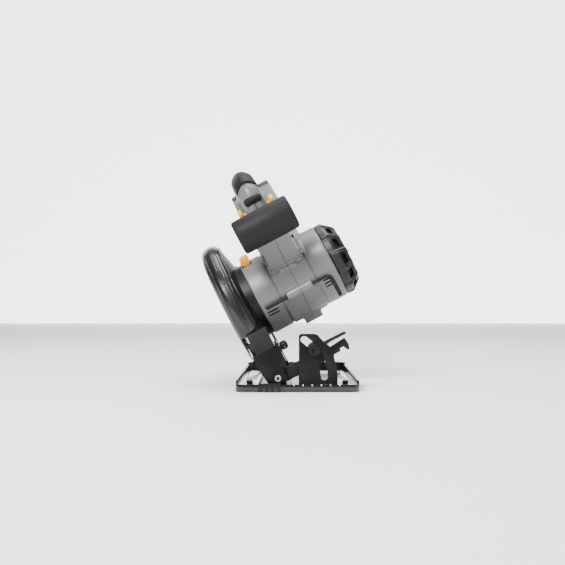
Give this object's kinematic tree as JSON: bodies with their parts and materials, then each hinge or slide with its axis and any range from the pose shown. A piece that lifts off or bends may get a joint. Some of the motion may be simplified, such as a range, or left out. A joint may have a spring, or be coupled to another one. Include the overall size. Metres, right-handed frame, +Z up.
{
  "type": "circular saw",
  "caption": "Cordless circular saw with tilting shoe, depth pivot, swinging lower guard, geared blade drive, two handles and a slide-on battery.",
  "frame": {"origin": "centre of the shoe's sole, on the surface that the saw stands on", "axes": "+Z up, +X from the blade towards the motor, -Y is the cutting direction (front of the shoe)"},
  "size_m": [0.2098, 0.3023, 0.2978],
  "materials": {
    "black_steel": "gloss powder coat",
    "cast_black": "gloss paint on a casting",
    "grey_plastic": "satin moulded",
    "black_plastic": "satin moulded",
    "soft_rubber": "soft matt",
    "yellow_plastic": "satin moulded",
    "bright_steel": "machined",
    "guard_aluminium": "satin",
    "motor_iron": "laminated",
    "copper_winding": "enamelled wire",
    "board": "solder mask",
    "cell_wrap": "shrink wrap",
    "dark_tool_steel": "black oxide"
  },
  "bodies": {
    "shoe": {"shoe_plate": "black_steel", "front_bevel_ear": "black_steel", "rear_bevel_ear": "black_steel", "bevel_quadrant": "black_steel", "shoe_rivets": "bright_steel", "cut_sight": "black_plastic", "fence_clamp_screws": "black_steel"},
    "bevel_carriage": {"pivot_bracket": "black_steel", "bevel_arm": "black_steel", "bevel_pivot_bolt": "bright_steel", "rear_pivot_pin": "bright_steel", "bevel_clamp_bolt": "black_steel", "clamp_washer": "bright_steel", "depth_pivot_bolt": "black_steel", "depth_strap": "black_steel"},
    "bevel_lever_arm": {"bevel_lever": "black_plastic"},
    "saw_body": {"upper_guard": "cast_black", "gear_case": "cast_black", "housing_left": "grey_plastic", "housing_right": "grey_plastic", "motor_end_cap": "black_plastic", "front_grip": "soft_rubber", "handle_overmould": "soft_rubber", "stator": "copper_winding", "arbor_bearing": "bright_steel", "rear_arbor_bearing": "bright_steel", "front_motor_bearing": "bright_steel", "rear_motor_bearing": "bright_steel", "control_board": "board", "switch_module": "black_plastic", "battery_terminals": "bright_steel", "housing_screws": "bright_steel", "end_cap_screws": "bright_steel", "guard_spring": "bright_steel", "guard_bumper": "soft_rubber", "depth_lock_bolt": "bright_steel"},
    "rotor": {"rotor_shaft": "bright_steel", "rotor_core": "motor_iron", "cooling_fan": "black_plastic"},
    "arbor": {"arbor_shaft": "bright_steel", "spur_gear": "bright_steel", "inner_flange": "bright_steel", "outer_flange": "bright_steel", "blade_bolt": "bright_steel", "saw_blade": "bright_steel"},
    "swing_guard": {"lower_guard": "guard_aluminium"},
    "trigger_body": {"trigger": "black_plastic"},
    "lock_off_body": {"lock_off_paddles": "yellow_plastic"},
    "spindle_lock_body": {"spindle_lock_button": "yellow_plastic"},
    "depth_lever_arm": {"depth_lever": "black_plastic"},
    "battery": {"battery_case": "black_plastic", "battery_cells": "cell_wrap"},
    "battery_latch_body": {"battery_latch": "black_plastic"},
    "hex_key_body": {"hex_key": "dark_tool_steel"}
  },
  "joints": [
    {"name": "bevel", "type": "hinge", "parent": "shoe", "child": "bevel_carriage", "pos_m": [-0.0237, 0, 0.016], "axis": [0, -1, 0], "range_deg": [-28, 17]},
    {"name": "depth", "type": "hinge", "parent": "bevel_carriage", "child": "saw_body", "pos_m": [-0.03849, -0.115, 0.04381], "axis": [-0.8829, 0, -0.4695], "range_deg": [0, 39]},
    {"name": "bevel_lever_turn", "type": "hinge", "parent": "bevel_carriage", "child": "bevel_lever_arm", "pos_m": [0.02057, -0.122, 0.05075], "axis": [0, -1, 0], "range_deg": [0, 40]},
    {"name": "depth_lever_turn", "type": "hinge", "parent": "saw_body", "child": "depth_lever_arm", "pos_m": [-0.07722, 0.06213, 0.15288], "axis": [-0.8829, 0, -0.4695], "range_deg": [0, 50]},
    {"name": "blade_spin", "type": "hinge", "parent": "saw_body", "child": "arbor", "pos_m": [-0.07482, -0.01485, 0.09084], "axis": [0.8829, 0, 0.4695], "continuous": true},
    {"name": "motor_spin", "type": "hinge", "parent": "saw_body", "child": "rotor", "pos_m": [-0.02583, -0.03995, 0.12651], "axis": [0.8829, 0, 0.4695], "continuous": true},
    {"name": "lower_guard_swing", "type": "hinge", "parent": "saw_body", "child": "swing_guard", "pos_m": [-0.06864, -0.01485, 0.09413], "axis": [0.8829, 0, 0.4695], "range_deg": [0, 140], "stiffness_Nm_per_rad": 0.1, "springref_deg": -114.59},
    {"name": "trigger_pull", "type": "slide", "parent": "saw_body", "child": "trigger_body", "axis": [-0.3648, -0.6293, 0.6862], "range_m": [0, 0.004], "stiffness_N_per_m": 600, "springref_m": -0.003},
    {"name": "lock_off_push", "type": "slide", "parent": "saw_body", "child": "lock_off_body", "axis": [0.8829, 0, 0.4695], "range_m": [-0.0025, 0.0025], "stiffness_N_per_m": 800},
    {"name": "spindle_lock_press", "type": "slide", "parent": "saw_body", "child": "spindle_lock_body", "axis": [0.4637, 0.1564, -0.8721], "range_m": [0, 0.004], "stiffness_N_per_m": 500, "springref_m": -0.002},
    {"name": "battery_slide", "type": "slide", "parent": "saw_body", "child": "battery", "axis": [-0.2954, 0.7771, 0.5557], "range_m": [0, 0.12]},
    {"name": "battery_latch_press", "type": "slide", "parent": "battery", "child": "battery_latch_body", "axis": [0.3648, 0.6293, -0.6862], "range_m": [0, 0.003], "stiffness_N_per_m": 500, "springref_m": -0.002},
    {"name": "hex_key_slide", "type": "slide", "parent": "saw_body", "child": "hex_key_body", "axis": [0.8829, 0, 0.4695], "range_m": [0, 0.1]}
  ],
  "couplings": [
    {"joint": "motor_spin", "follows": "blade_spin", "ratio": -4.8889}
  ]
}
